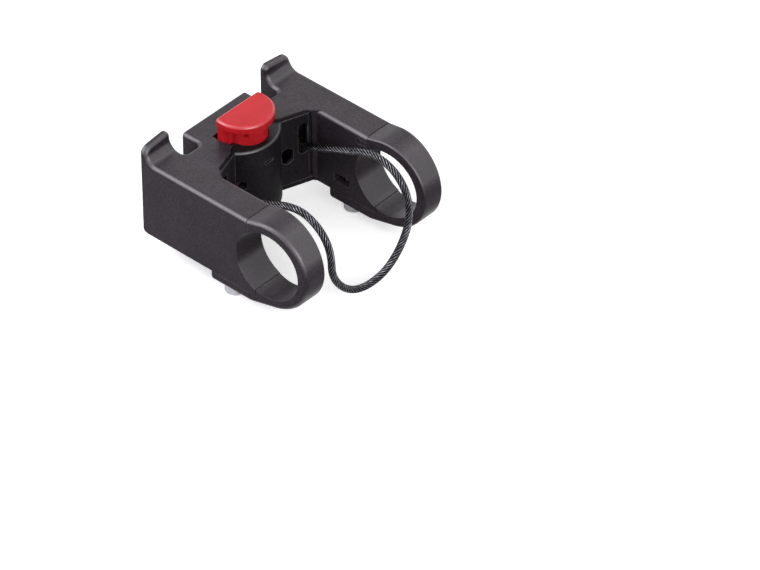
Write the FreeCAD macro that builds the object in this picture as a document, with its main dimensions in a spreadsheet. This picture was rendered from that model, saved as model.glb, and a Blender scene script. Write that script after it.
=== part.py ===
import FreeCAD, Part
import Sketcher
import math
import os
import re

# Mount that holds a bag on a bicycle's handlebar, in millimetres.
# The origin is the middle of the handlebar's axis. X runs along the bar, Y forward to the bag, Z up.
# The mount is the same on both sides of X = 0. Left is -X, right is +X.

doc = FreeCAD.newDocument("BagMount")
sheet = doc.addObject("Spreadsheet::Sheet", "Sizes")

sizes = {
    # handlebar and the bands round it
    "bar_dia": 31.8,
    "band_wall": 4.5,
    "split_y": 10.2,        # seam between arm and band, above the bar
    "saddle_y": 6.0,        # rear end of the arm, below the bar
    "seam_gap": 0.3,        # the dark line across the top
    "flange_gap": 0.3,      # between the arm and the band's flange
    "flange_wall": 4.5,
    "flange_front": 31.0,
    "flange_bend": 8.0,     # where the band's bottom turns into the flange
    "flange_bend_round": 10.0,
    "flange_toe_round": 1.5,
    "outer_taper": 2.3,     # a band gets narrower to the rear, on its outer side
    "inner_taper": 1.6,
    # frame
    "half_width": 43.2,
    "arm_inner": 28.3,
    "deck_z": 18.7,
    "floor_z": -17.6,
    "front_y": 68.2,
    "wall": 3.0,
    "edge_round": 2.0,
    "front_round": 0.9,
    "window_facet": 2.8,    # across the window's front corners
    "toe_round": 3.0,
    # hooks at the front corners
    "hook_inner": 28.0,
    "hook_height": 7.9,
    "hook_fall": 1.8,       # the hook's top gets lower towards the outer side
    "hook_wall": 2.9,
    "cradle_round": 4.8,
    "hook_outer_round": 4.2,
    "hook_inner_round": 2.6,
    # notches beside the hooks
    "notch_inner": 19.0,
    "notch_length": 10.6,
    "notch_depth": 16.0,
    "notch_round": 2.0,
    # chambers of the front box
    "side_chamber": 27.2,
    "side_chamber_end": 55.2,
    "mid_chamber": 17.2,
    # boss and wings of the latch housing
    "boss_ahead": 0.3,      # from the button's front to the middle of the boss
    "boss_dia": 36.6,
    "boss_wall": 2.4,
    "boss_rim_round": 1.2,
    "land_behind": 7.2,     # from the button's front to the front end of the boss's top
    "land_wall": 3.0,
    "sleeve_wall": 1.6,     # round the button's skirt
    "sleeve_bottom": 3.0,
    "slit_width": 5.4,      # shallow, in the boss's rear
    "slit_height": 1.2,
    "slit_depth": 1.1,
    "slit_z": 8.6,
    "flank_hole_width": 3.0,
    "flank_hole_x": 11.6,
    "flank_hole_top": 3.2,
    "flank_hole_bottom": -1.3,
    "wing_root_x": 13.8,
    "wing_end_y": 38.6,
    "wing_wall": 1.3,
    "wing_step": 0.6,       # the wing's end is thinner, on its rear side
    "wing_step_in": 2.6,
    "wing_drop": 1.0,       # from the deck down to the top of wings and boss
    "wing_groove": 0.3,     # gap all round the wing
    "wing_seat": 1.1,       # how far a wing's end goes into the arm
    "slot_width": 4.0,
    "slot_top": 13.6,
    "slot_bottom": -2.0,
    "port_width": 5.2,      # hole beside the boss
    "port_x": 16.4,
    "port_top": 3.0,
    "port_bottom": -4.8,
    # release button
    "opening_clear": 0.35,
    "front_clear": 1.9,
    "neck_step": 0.6,       # the opening is narrower behind the skirt's bar
    "neck_behind": 8.0,
    "opening_round": 0.8,
    "skirt_dia": 16.2,      # round rear part of the skirt
    "skirt_wall": 1.8,
    "skirt_front_wall": 2.2,
    "skirt_behind": 6.5,    # from the button's front to the middle of the skirt's round part
    "skirt_bottom": -6.0,
    "bar_depth": 4.8,       # the skirt's front is a wide bar
    "bar_corner": 1.5,
    "neck_round": 1.8,      # between the bar and the round part
    "rim_step": 0.4,        # from the cap's end to the bar's end
    "button_front": 55.4,
    "cap_dia": 26.2,
    "cap_behind": 3.8,
    "cap_top": 29.0,
    "cap_height": 3.2,
    "cap_corner": 1.5,
    "cap_round": 1.4,
    "press_travel": 5.0,
    "pocket_x": 6.4,        # shallow upright pocket in the skirt's flank
    "pocket_width": 1.2,
    "pocket_in": 3.0,       # from the round part's middle to the pocket's ground
    "pocket_top": 24.6,
    "pocket_bottom": 21.4,
    "rib_wall": 1.6,
    "post_dia": 8.4,       # inside the skirt, above the spring
    "post_bottom": 0.0,
    "nose_width": 9.6,
    "nose_height": 4.0,
    "nose_reach": 3.3,      # in front of the frame
    "nose_hook": 2.5,
    "nose_clear": 0.6,
    # spring
    "spring_wire": 0.8,
    "spring_dia": 7.0,      # middle of the wire
    "spring_turns": 6.0,
    "spring_clear": 0.05,
    "pin_dia": 5.2,         # on the cover and under the post, inside the spring
    "cover_pin": 5.0,
    "post_pin": 2.0,
    # bottom cover and its screws
    "cover_wall": 2.2,
    "cover_lip": 1.2,
    "cover_clear": 0.25,
    "ear_width": 4.3,
    "ear_front": 48.2,
    "ear_rear": 41.0,
    "ear_screw_in": 1.4,    # from the arm's inner side
    "front_screw_x": 15.2,
    "front_screw_y": 63.2,
    "screw_post_dia": 5.4,
    "screw_dia": 2.5,
    "screw_hole_dia": 2.6,
    "screw_head_dia": 5.0,
    "screw_head_height": 1.4,
    "screw_length": 9.0,
    "screw_drive": 2.6,
    "key_hole_dia": 4.0,
    # bead hinge of the bands
    "bead_y": 14.4,
    "bead_z": 15.0,
    "bead_dia": 3.0,
    "neck_wall": 1.8,
    "bead_clear": 0.3,
    "bead_end_wall": 3.6,
    # screws that close the bands
    "bolt_y": 24.0,
    "bolt_dia": 5.0,
    "bolt_hole_dia": 5.5,
    "bolt_tip_z": -5.6,
    "bolt_head_dia": 8.5,
    "bolt_head_height": 5.0,
    "bolt_drive": 4.0,
    "bolt_drive_depth": 2.6,
    "washer_dia": 10.0,
    "washer_hole_dia": 5.3,
    "washer_wall": 1.0,
    "nut_width": 8.0,
    "nut_height": 4.0,
    "nut_top": -8.3,
    "nut_clear": 0.15,
    # hollows in the underside of the arms
    "core_wall": 1.4,       # beside the cover's ear
    "core_rear": 33.4,
    "core_rib_y": 48.6,
    "core_rib_wall": 2.4,
    "core_round": 1.5,
    # rope and what holds its ends
    "rope_dia": 3.2,
    "rope_x": 23.2,
    "barrel_dia": 6.8,
    "barrel_seat": 0.05,
    "barrel_top": 5.6,
    "barrel_bottom": -7.4,
    "rope_hole_dia": 3.5,
    "grub_dia": 4.0,
    "grub_clear": 0.05,
    "grub_length": 5.0,
    "grub_drive": 2.0,
    "ferrule_dia": 4.6,
    "ferrule_length": 4.0,
    "ferrule_clear": 0.05,
}

for row, (alias, number) in enumerate(sizes.items(), start=1):
    sheet.set(f"A{row}", alias)
    sheet.set(f"B{row}", str(number))
    sheet.setAlias(f"B{row}", alias)
doc.recompute()


# Expressions and sketches

def bound(text):
    # the expression with its size names tied to the sheet
    return re.sub(r"[a-z]+(_[a-z]+)*", lambda word: "Sizes." + word[0] if word[0] in sizes else word[0], text)


def mm(text):
    return float(sheet.evalExpression(bound(text)))


def new_body(name):
    body = doc.addObject("PartDesign::Body", name)
    body.Label = name
    return body


def sketch_on(body, role, lift="0"):
    sketch = body.newObject("Sketcher::SketchObject", "Profile")
    plane = [feature for feature in body.Origin.OriginFeatures if feature.Role == role][0]
    sketch.AttachmentSupport = [(plane, "")]
    sketch.MapMode = "FlatFace"
    sketch.setExpression("AttachmentOffset.Base.z", bound(lift))
    doc.recompute()
    return sketch


def tie(sketch, kind, edge, point, text):
    number = mm(text)
    if kind == "Radius":
        index = sketch.addConstraint(Sketcher.Constraint(kind, edge, number))
    else:
        index = sketch.addConstraint(Sketcher.Constraint(kind, edge, point, number))
    sketch.setExpression(f"Constraints[{index}]", bound(text))


def arc_between(start, end, radius, turn):
    # the shorter arc from start to end: turn is 1 for anticlockwise and -1 for clockwise
    chord = end - start
    height = math.sqrt(max(radius ** 2 - (chord.Length / 2) ** 2, 0))
    side = FreeCAD.Vector(-chord.y, chord.x, 0).normalize() * turn
    centre = (start + end) / 2 + side * height
    first, last = (start, end) if turn > 0 else (end, start)
    angles = [math.atan2(point.y - centre.y, point.x - centre.x) for point in (first, last)]
    circle = Part.Circle(centre, FreeCAD.Vector(0, 0, 1), radius)
    return Part.ArcOfCircle(circle, angles[0], angles[1])


def outline(sketch, corners, arcs=None):
    # A closed profile. Corners are pairs of expressions, and arcs gives the radius and turn
    # of the curved edge that starts at a corner of that number.
    arcs = arcs or {}
    points = [FreeCAD.Vector(mm(across), mm(up), 0) for across, up in corners]
    edges = []
    ends = []
    for number, start in enumerate(points):
        end = points[(number + 1) % len(points)]
        if number in arcs:
            radius, turn = arcs[number]
            edges.append(sketch.addGeometry(arc_between(start, end, mm(radius), turn)))
            ends.append((1, 2) if turn > 0 else (2, 1))
        else:
            edges.append(sketch.addGeometry(Part.LineSegment(start, end)))
            ends.append((1, 2))
    for number, (across, up) in enumerate(corners):
        before = (edges[number - 1], ends[number - 1][1])
        after = (edges[number], ends[number][0])
        sketch.addConstraint(Sketcher.Constraint("Coincident", *before, *after))
        tie(sketch, "DistanceX", *after, across)
        tie(sketch, "DistanceY", *after, up)
    for number, (radius, turn) in arcs.items():
        tie(sketch, "Radius", edges[number], None, radius)


def rectangle(sketch, low, high):
    outline(sketch, [low, (high[0], low[1]), high, (low[0], high[1])])


def circle(sketch, across, up, diameter):
    centre = FreeCAD.Vector(mm(across), mm(up), 0)
    radius = f"({diameter}) / 2"
    edge = sketch.addGeometry(Part.Circle(centre, FreeCAD.Vector(0, 0, 1), mm(radius)))
    tie(sketch, "DistanceX", edge, 3, across)
    tie(sketch, "DistanceY", edge, 3, up)
    tie(sketch, "Radius", edge, None, radius)


# Features

def pad(body, sketch, length, backwards=False, both=False):
    feature = body.newObject("PartDesign::Pad", "Pad")
    feature.Profile = sketch
    feature.setExpression("Length", bound(length))
    feature.Reversed = backwards
    feature.SideType = "Symmetric" if both else "One side"
    doc.recompute()
    return feature


def cut(body, sketch, length, backwards=False, both=False):
    before = body.Shape.Volume
    feature = body.newObject("PartDesign::Pocket", "Pocket")
    feature.Profile = sketch
    feature.setExpression("Length", bound(length))
    feature.Reversed = backwards
    feature.SideType = "Symmetric" if both else "One side"
    doc.recompute()
    if not body.Shape.Volume < before:
        raise ValueError(f"{body.Label}: {feature.Name} cuts nothing")
    return feature


def mirrored(body, features):
    feature = body.newObject("PartDesign::Mirrored", "Mirrored")
    feature.Originals = features
    plane = [item for item in body.Origin.OriginFeatures if item.Role == "YZ_Plane"][0]
    feature.MirrorPlane = (plane, [""])
    body.Tip = feature
    doc.recompute()
    return feature


def edge_names(shape, places):
    # the edges whose middle lies at one of the places, given as triples of expressions
    names = []
    for place in places:
        target = FreeCAD.Vector(*[mm(text) for text in place])
        middles = [edge.valueAt((edge.FirstParameter + edge.LastParameter) / 2) for edge in shape.Edges]
        nearest = min(range(len(middles)), key=lambda index: (middles[index] - target).Length)
        names.append(f"Edge{nearest + 1}")
    return names


def rounded(body, places, radius):
    base = body.Tip
    names = edge_names(base.Shape, places)
    feature = body.newObject("PartDesign::Fillet", "Fillet")
    feature.Base = (base, names)
    feature.setExpression("Radius", bound(radius))
    doc.recompute()
    return feature


def both_sides(places):
    return places + [("-(" + across + ")", along, up) for across, along, up in places]


# Shared places, worked out from the sizes

bar_radius = "(bar_dia / 2)"
band_radius = "(bar_dia / 2 + band_wall)"
boss_radius = "(boss_dia / 2)"
bore_radius = "(boss_dia / 2 - boss_wall)"
skirt_radius = "(skirt_dia / 2)"
hook_top = "(deck_z + hook_height)"
hook_rear = "(front_y - hook_wall)"
cradle_start = "(front_y - hook_wall - cradle_round)"
cradle_lift = "(deck_z + cradle_round)"
notch_rear = "(front_y - notch_length)"
box_front = "(front_y - wall)"
box_top = "(deck_z - wall)"
cover_top = "(floor_z + cover_wall)"
flange_top = "(floor_z - flange_gap)"
flange_bottom = "(floor_z - flange_gap - flange_wall)"
wing_top = "(deck_z - wing_drop)"
rope_radius = "(rope_dia / 2)"
seam_y = "(split_y - seam_gap)"
bolt_x = "((arm_inner + half_width) / 2)"
bead_end = "(half_width - bead_end_wall)"
ear_x = "(arm_inner + ear_width)"
ear_screw_x = "(arm_inner + ear_screw_in)"
ear_screw_y = "((ear_rear + ear_front) / 2)"
core_inner = f"({ear_x} + core_wall)"
core_outer = "(half_width - wall)"

# The button's parts and the boss round it keep their places to the button's front.
skirt_y = "(button_front - skirt_behind)"
cap_y = "(button_front - cap_behind)"
neck_y = "(button_front - neck_behind)"
land_y = "(button_front - land_behind)"
boss_y = "(button_front + boss_ahead)"

# A wing's rear face runs straight from the boss to the arm.
wing_root_y = f"({boss_y} - sqrt({boss_radius} ^ 2 - wing_root_x ^ 2))"
wing_slope = f"(({wing_root_y} - wing_end_y) / (arm_inner - wing_root_x))"
wing_stretch = f"sqrt(1 + {wing_slope} ^ 2)"


def wing_face(across, behind="0"):
    # Y of the line that lies behind the wing's rear face by that much, at that distance from the middle
    return f"(wing_end_y + {wing_slope} * (arm_inner - ({across})) - ({behind}) * {wing_stretch})"


def circle_x(radius, up):
    return f"sqrt(({radius}) ^ 2 - ({up}) ^ 2)"


# Front end of the window's straight side
window_corner_y = f"({wing_face('arm_inner', '-wing_wall - wing_groove')} - window_facet)"

# Where a wing's front face meets the boss's end, and the same point on the boss's inside
ring_end_x = "(wing_root_x + 0.5)"
ring_end_y = wing_face(ring_end_x, "-wing_wall")
ring_inside_x = circle_x(bore_radius, f"{boss_y} - {ring_end_y}")

# The button's skirt: a wide bar with a round part behind it, and the opening in the deck round it
cap_half = circle_x("cap_dia / 2", "cap_behind")
bar_half = f"({cap_half} - rim_step)"
bar_rear = "(button_front - bar_depth)"
opening_half = f"({bar_half} + opening_clear)"
neck_x = f"({bar_half} - neck_step)"


# Frame

def frame_side(body):
    # seen from the side: deck, cradle, hook, front, floor and the saddle of the bar
    sketch = sketch_on(body, "YZ_Plane")
    saddle_low = f"-{circle_x(bar_radius, 'saddle_y')}"
    saddle_high = circle_x(bar_radius, "split_y")
    corners = [
        ("split_y", "deck_z"),
        ("split_y", saddle_high),
        ("saddle_y", saddle_low),
        ("saddle_y", "floor_z"),
        ("front_y", "floor_z"),
        ("front_y", hook_top),
        (hook_rear, hook_top),
        (hook_rear, cradle_lift),
        (cradle_start, "deck_z"),
    ]
    outline(sketch, corners, {1: (bar_radius, -1), 7: ("cradle_round", -1)})
    pad(body, sketch, "half_width * 2", both=True)


def frame_window(body):
    # between the arms, forward to the edge that the wings lie along
    sketch = sketch_on(body, "XY_Plane", "floor_z - 1")
    edge = "-wing_wall - wing_groove"
    facet_x = "(arm_inner - window_facet)"
    right = [
        ("arm_inner", "-bar_dia"),
        ("arm_inner", window_corner_y),
        (facet_x, wing_face(facet_x, edge)),
        (ring_end_x, wing_face(ring_end_x, edge)),
    ]
    outline(sketch, right + [(f"-({across})", along) for across, along in reversed(right)])
    cut(body, sketch, "deck_z - floor_z + hook_height + 2", backwards=True)


def frame_hook_gap(body):
    # the hooks stand only at the corners
    sketch = sketch_on(body, "XY_Plane", "deck_z")
    rectangle(sketch, ("-hook_inner", "split_y"), ("hook_inner", "front_y + 1"))
    cut(body, sketch, "hook_height + 1", backwards=True)


def frame_hook_tops(body):
    sketch = sketch_on(body, "XZ_Plane", "-(front_y + 1)")
    corners = [
        ("hook_inner - 1", hook_top),
        ("hook_inner", hook_top),
        ("half_width", f"{hook_top} - hook_fall"),
        ("half_width + 1", f"{hook_top} - hook_fall"),
        ("half_width + 1", f"{hook_top} + 1"),
        ("hook_inner - 1", f"{hook_top} + 1"),
    ]
    outline(sketch, corners)
    mirrored(body, [cut(body, sketch, "hook_wall + cradle_round", backwards=True)])


def frame_notches(body):
    sketch = sketch_on(body, "XY_Plane", "deck_z - notch_depth")
    corners = [
        ("notch_inner", "front_y + 1"),
        ("notch_inner", f"{notch_rear} + notch_round"),
        ("notch_inner + notch_round", notch_rear),
        ("hook_inner - notch_round", notch_rear),
        ("hook_inner", f"{notch_rear} + notch_round"),
        ("hook_inner", "front_y + 1"),
    ]
    outline(sketch, corners, {1: ("notch_round", 1), 3: ("notch_round", 1)})
    mirrored(body, [cut(body, sketch, "notch_depth + 1", backwards=True)])


def frame_rounding(body):
    # hook corners, then the whole upper edge of arms, cradles and notches, then the edges of the front
    hook_corner = ("half_width", "front_y - hook_wall / 2", f"{hook_top} - hook_fall")
    rounded(body, both_sides([hook_corner]), "hook_outer_round")
    rounded(body, both_sides([("hook_inner", "front_y - hook_wall / 2", hook_top)]), "hook_inner_round")
    rounded(body, [("0", "front_y", "floor_z")], "toe_round")
    rounded(body, both_sides([("half_width", f"(split_y + {cradle_start}) / 2", "deck_z")]), "edge_round")
    inner_edge = ("arm_inner", f"(split_y + {window_corner_y}) / 2", "deck_z")
    rounded(body, both_sides([inner_edge]), "edge_round")
    rounded(body, [("0", "front_y", "deck_z")], "front_round")


def frame_front_corners(body):
    # the upright edges at the two front corners
    sketch = sketch_on(body, "XY_Plane", "floor_z - 1")
    corners = [
        ("half_width - front_round", "front_y + 1"),
        ("half_width - front_round", "front_y"),
        ("half_width", "front_y - front_round"),
        ("half_width + 1", "front_y - front_round"),
        ("half_width + 1", "front_y + 1"),
    ]
    outline(sketch, corners, {1: ("front_round", -1)})
    mirrored(body, [cut(body, sketch, f"{hook_top} - floor_z + 2", backwards=True)])


def frame_opening(body):
    # round the boss's top and the button's bar
    sketch = sketch_on(body, "XY_Plane", "deck_z + 1")
    root_x = f"({ring_end_x} + opening_clear)"
    root_y = wing_face(root_x, "-wing_wall - wing_groove")
    right = [
        (root_x, root_y),
        (neck_x, neck_y),
        (neck_x, f"{bar_rear} - opening_clear"),
        (opening_half, f"{bar_rear} - opening_clear"),
        (opening_half, "button_front + front_clear"),
    ]
    left = [(f"-{across}", along) for across, along in reversed(right)]
    outline(sketch, [("0", f"{root_y} - wall")] + right + left)
    cut(body, sketch, "wall + 2")
    rounded(body, both_sides([(root_x, root_y, "deck_z - (wall + 1) / 2")]), "opening_round")


def frame_chambers(body):
    # open to the underside: a middle one for the button and one beside it for each end of the rope
    sketch = sketch_on(body, "XY_Plane", "floor_z")
    corners = [
        ("-side_chamber", "wing_end_y"),
        ("side_chamber", "wing_end_y"),
        ("side_chamber", "side_chamber_end"),
        ("mid_chamber", "side_chamber_end"),
        ("mid_chamber", box_front),
        ("-mid_chamber", box_front),
        ("-mid_chamber", "side_chamber_end"),
        ("-side_chamber", "side_chamber_end"),
    ]
    outline(sketch, corners)
    cut(body, sketch, f"{box_top} - floor_z", backwards=True)


def frame_wing_seats(body):
    # grooves in the arms that take the wings' ends
    sketch = sketch_on(body, "XY_Plane", "floor_z")
    end = "(arm_inner + wing_seat + wing_groove)"
    start = "(arm_inner - window_facet - 1)"
    behind = "wing_groove - wing_step"
    ahead = "-wing_wall - wing_groove"
    corners = [
        (start, wing_face(start, behind)),
        (end, wing_face(end, behind)),
        (end, wing_face(end, ahead)),
        (start, wing_face(start, ahead)),
    ]
    outline(sketch, corners)
    return cut(body, sketch, f"{wing_top} + wing_groove - floor_z", backwards=True)


def cover_corners(grow):
    # the cover's outline in front of the wings, from the right arm round the front to the left arm
    right = [
        (f"arm_inner + {grow}", f"ear_rear - {grow}"),
        (f"{ear_x} + {grow}", f"ear_rear - {grow}"),
        (f"{ear_x} + {grow}", f"ear_front + {grow}"),
        (f"side_chamber + cover_lip + {grow}", f"ear_front + {grow}"),
        (f"side_chamber + cover_lip + {grow}", f"side_chamber_end + cover_lip + {grow}"),
        (f"mid_chamber + cover_lip + {grow}", f"side_chamber_end + cover_lip + {grow}"),
        (f"mid_chamber + cover_lip + {grow}", f"{box_front} + cover_lip + {grow}"),
    ]
    return right + [(f"-({across})", along) for across, along in reversed(right)]


def frame_cover_seat(body):
    sketch = sketch_on(body, "XY_Plane", "floor_z")
    rear = [("-arm_inner", "wing_end_y"), ("arm_inner", "wing_end_y")]
    edge = [("arm_inner", "ear_rear - cover_clear")]
    far_edge = [("-arm_inner", "ear_rear - cover_clear")]
    outline(sketch, rear + edge + cover_corners("cover_clear")[1:-1] + far_edge)
    cut(body, sketch, "cover_wall", backwards=True)


def frame_screw_posts(body):
    sketch = sketch_on(body, "XY_Plane", cover_top)
    circle(sketch, "front_screw_x", "front_screw_y", "screw_post_dia")
    posts = pad(body, sketch, f"{box_top} - {cover_top}")
    holes = sketch_on(body, "XY_Plane", "floor_z")
    circle(holes, "front_screw_x", "front_screw_y", "screw_hole_dia")
    circle(holes, ear_screw_x, ear_screw_y, "screw_hole_dia")
    mirrored(body, [posts, cut(body, holes, "cover_wall + screw_length", backwards=True)])


def frame_latch_window(body):
    # in the front wall, for the latch nose and its way down
    sketch = sketch_on(body, "XZ_Plane", "-(front_y + 1)")
    half = "(nose_width / 2 + nose_clear)"
    low = "(skirt_bottom - press_travel - nose_clear)"
    high = "(skirt_bottom + nose_height + nose_hook + nose_clear)"
    rectangle(sketch, (f"-{half}", low), (half, high))
    cut(body, sketch, "wall + 2", backwards=True)


def frame_bead_seats(body):
    # a round channel behind the seam, open to the window between the arms
    sketch = sketch_on(body, "YZ_Plane", "arm_inner - 1")
    radius = "(bead_dia / 2 + bead_clear)"
    neck = "(neck_wall / 2 + bead_clear)"
    neck_end = f"(bead_y - {circle_x(radius, neck)})"
    corners = [
        ("split_y - 1", f"bead_z - {neck}"),
        (neck_end, f"bead_z - {neck}"),
        (f"bead_y + {radius}", "bead_z"),
        (neck_end, f"bead_z + {neck}"),
        ("split_y - 1", f"bead_z + {neck}"),
    ]
    outline(sketch, corners, {1: (radius, 1), 2: (radius, 1)})
    return cut(body, sketch, f"{bead_end} + bead_clear - arm_inner + 1", backwards=True)


def frame_bolt_holes(body):
    sketch = sketch_on(body, "XY_Plane", "floor_z")
    circle(sketch, bolt_x, "bolt_y", "bolt_hole_dia")
    return cut(body, sketch, "bolt_tip_z + 1 - floor_z", backwards=True)


def frame_nut_slots(body):
    # each nut goes in from the window side
    sketch = sketch_on(body, "XY_Plane", "nut_top - nut_height - nut_clear")
    half = "(nut_width / 2 + nut_clear)"
    point = f"({half} * 2 / sqrt(3))"
    corners = [
        ("arm_inner - 1", f"bolt_y - {half}"),
        (f"{bolt_x} + {point} / 2", f"bolt_y - {half}"),
        (f"{bolt_x} + {point}", "bolt_y"),
        (f"{bolt_x} + {point} / 2", f"bolt_y + {half}"),
        ("arm_inner - 1", f"bolt_y + {half}"),
    ]
    outline(sketch, corners)
    return cut(body, sketch, "nut_height + nut_clear * 2", backwards=True)


def frame_cores(body):
    # two hollows under each arm with a rib between them
    features = []
    spans = [
        ("core_rear", "core_rib_y - core_rib_wall / 2"),
        ("core_rib_y + core_rib_wall / 2", box_front),
    ]
    for rear, front in spans:
        sketch = sketch_on(body, "XY_Plane", "floor_z")
        corners = [
            (f"{core_inner} + core_round", rear),
            (f"{core_outer} - core_round", rear),
            (core_outer, f"{rear} + core_round"),
            (core_outer, f"{front} - core_round"),
            (f"{core_outer} - core_round", front),
            (f"{core_inner} + core_round", front),
            (core_inner, f"{front} - core_round"),
            (core_inner, f"{rear} + core_round"),
        ]
        outline(sketch, corners, {number: ("core_round", 1) for number in (1, 3, 5, 7)})
        features.append(cut(body, sketch, f"{box_top} - floor_z", backwards=True))
    return features


def adapter_frame():
    body = new_body("adapter_frame")
    frame_side(body)
    frame_window(body)
    frame_hook_gap(body)
    frame_hook_tops(body)
    frame_notches(body)
    frame_rounding(body)
    frame_front_corners(body)
    frame_opening(body)
    frame_chambers(body)
    frame_cover_seat(body)
    frame_screw_posts(body)
    frame_latch_window(body)
    mirrored(body, [frame_wing_seats(body), frame_bead_seats(body), frame_bolt_holes(body),
                    frame_nut_slots(body)] + frame_cores(body))
    return body


# Latch housing

def boss_rear():
    # the boss's outer side, from the left wing to the right one
    return [("-wing_root_x", wing_root_y), ("0", f"{boss_y} - {boss_radius}"), ("wing_root_x", wing_root_y)]


def boss_top(body):
    # level with the wings' tops, open for the button's skirt
    top = sketch_on(body, "XY_Plane", f"{wing_top} - land_wall")
    side = f"({neck_x} - opening_clear)"
    right = [(ring_end_x, ring_end_y), (side, neck_y), (side, land_y)]
    left = [(f"-{across}", along) for across, along in reversed(right)]
    outline(top, boss_rear() + right + left, {0: (boss_radius, 1), 1: (boss_radius, 1)})
    pad(body, top, "land_wall")
    rim = (f"{boss_radius} * sin(20)", f"{boss_y} - {boss_radius} * cos(20)", wing_top)
    rounded(body, [rim], "boss_rim_round")


def boss_shell(body):
    wall = sketch_on(body, "XY_Plane", cover_top)
    corners = boss_rear() + [
        (ring_end_x, ring_end_y),
        (ring_inside_x, ring_end_y),
        ("0", f"{boss_y} - {bore_radius}"),
        (f"-{ring_inside_x}", ring_end_y),
        (f"-{ring_end_x}", ring_end_y),
    ]
    curves = {0: (boss_radius, 1), 1: (boss_radius, 1), 4: (bore_radius, -1), 5: (bore_radius, -1)}
    outline(wall, corners, curves)
    pad(body, wall, f"{wing_top} - land_wall - {cover_top}")


def boss_sleeve(body):
    # guides the round part of the button's skirt
    bore = "(skirt_dia + opening_clear * 2)"
    tube = sketch_on(body, "XY_Plane", "sleeve_bottom")
    cut_off_round(tube, skirt_y, f"({bore} + sleeve_wall * 2)", land_y)
    pad(body, tube, f"{wing_top} - land_wall - sleeve_bottom")
    hole = sketch_on(body, "XY_Plane", "sleeve_bottom - 1")
    circle(hole, "0", skirt_y, bore)
    cut(body, hole, f"{wing_top} - sleeve_bottom + 2", backwards=True)


def housing_wing(body):
    sketch = sketch_on(body, "XY_Plane", cover_top)
    tip = "(arm_inner + wing_seat)"
    root = "(wing_root_x - 1)"
    step = "(arm_inner - wing_step_in)"
    corners = [
        (tip, wing_face(tip, "-wing_step")),
        (tip, wing_face(tip, "-wing_wall")),
        (root, wing_face(root, "-wing_wall")),
        (root, wing_face(root)),
        (step, wing_face(step)),
        (f"{step} + wing_step / 2", wing_face(f"{step} + wing_step / 2", "-wing_step")),
    ]
    outline(sketch, corners)
    mirrored(body, [pad(body, sketch, f"{wing_top} - {cover_top}")])


def upright_slot(sketch, across, low, high, width):
    half = f"({width} / 2)"
    corners = [
        (f"{across} - {half}", f"{low} + {half}"),
        (across, low),
        (f"{across} + {half}", f"{low} + {half}"),
        (f"{across} + {half}", f"{high} - {half}"),
        (across, high),
        (f"{across} - {half}", f"{high} - {half}"),
    ]
    outline(sketch, corners, {number: (half, 1) for number in (0, 1, 3, 4)})


def housing_holes(body):
    # slots for the rope, ports beside the boss, small holes in its flanks and a slit in its rear
    slots = sketch_on(body, "XZ_Plane")
    upright_slot(slots, "rope_x", "slot_bottom", "slot_top", "slot_width")
    slot_cut = cut(body, slots, boss_y)
    ports = sketch_on(body, "XZ_Plane")
    upright_slot(ports, "port_x", "port_bottom", "port_top", "port_width")
    upright_slot(ports, "flank_hole_x", "flank_hole_bottom", "flank_hole_top", "flank_hole_width")
    port_cut = cut(body, ports, f"{ring_end_y} + 1")
    mirrored(body, [slot_cut, port_cut])
    slit = sketch_on(body, "XZ_Plane")
    rectangle(slit, ("-slit_width / 2", "slit_z"), ("slit_width / 2", "slit_z + slit_height"))
    cut(body, slit, f"{boss_y} - {boss_radius} + slit_depth")


def latch_housing():
    # boss round the button's skirt, and a wing on each side of it
    body = new_body("latch_housing")
    boss_top(body)
    boss_shell(body)
    boss_sleeve(body)
    housing_wing(body)
    housing_holes(body)
    return body


# Bottom cover

def bottom_cover():
    body = new_body("bottom_cover")
    plate = sketch_on(body, "XY_Plane", "floor_z")
    rear = boss_rear() + [
        ("arm_inner - cover_clear", wing_face("arm_inner - cover_clear")),
        ("arm_inner - cover_clear", "ear_rear"),
    ]
    corners = rear + cover_corners("0")[1:-1] + [
        ("-(arm_inner - cover_clear)", "ear_rear"),
        ("-(arm_inner - cover_clear)", wing_face("arm_inner - cover_clear")),
    ]
    outline(plate, corners, {0: (boss_radius, 1), 1: (boss_radius, 1)})
    pad(body, plate, "cover_wall")

    pin = sketch_on(body, "XY_Plane", "floor_z")
    circle(pin, "0", skirt_y, "pin_dia")
    pad(body, pin, "cover_wall + cover_pin")

    keys = sketch_on(body, "XY_Plane", "floor_z")
    circle(keys, "rope_x", barrel_y, "key_hole_dia")
    key_cut = cut(body, keys, "cover_wall", backwards=True)
    mirrored(body, [key_cut])

    for across, along in cover_screw_places():
        holes = sketch_on(body, "XY_Plane", "floor_z")
        circle(holes, across, along, "screw_hole_dia + cover_clear * 2")
        cut(body, holes, "cover_wall", backwards=True)
        heads = sketch_on(body, "XY_Plane", "floor_z")
        circle(heads, across, along, "screw_head_dia + cover_clear * 2")
        cut(body, heads, "screw_head_height", backwards=True)
    return body


def cover_screw_places():
    right = [(ear_screw_x, ear_screw_y), ("front_screw_x", "front_screw_y")]
    return right + [(f"-{across}", along) for across, along in right]


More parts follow.
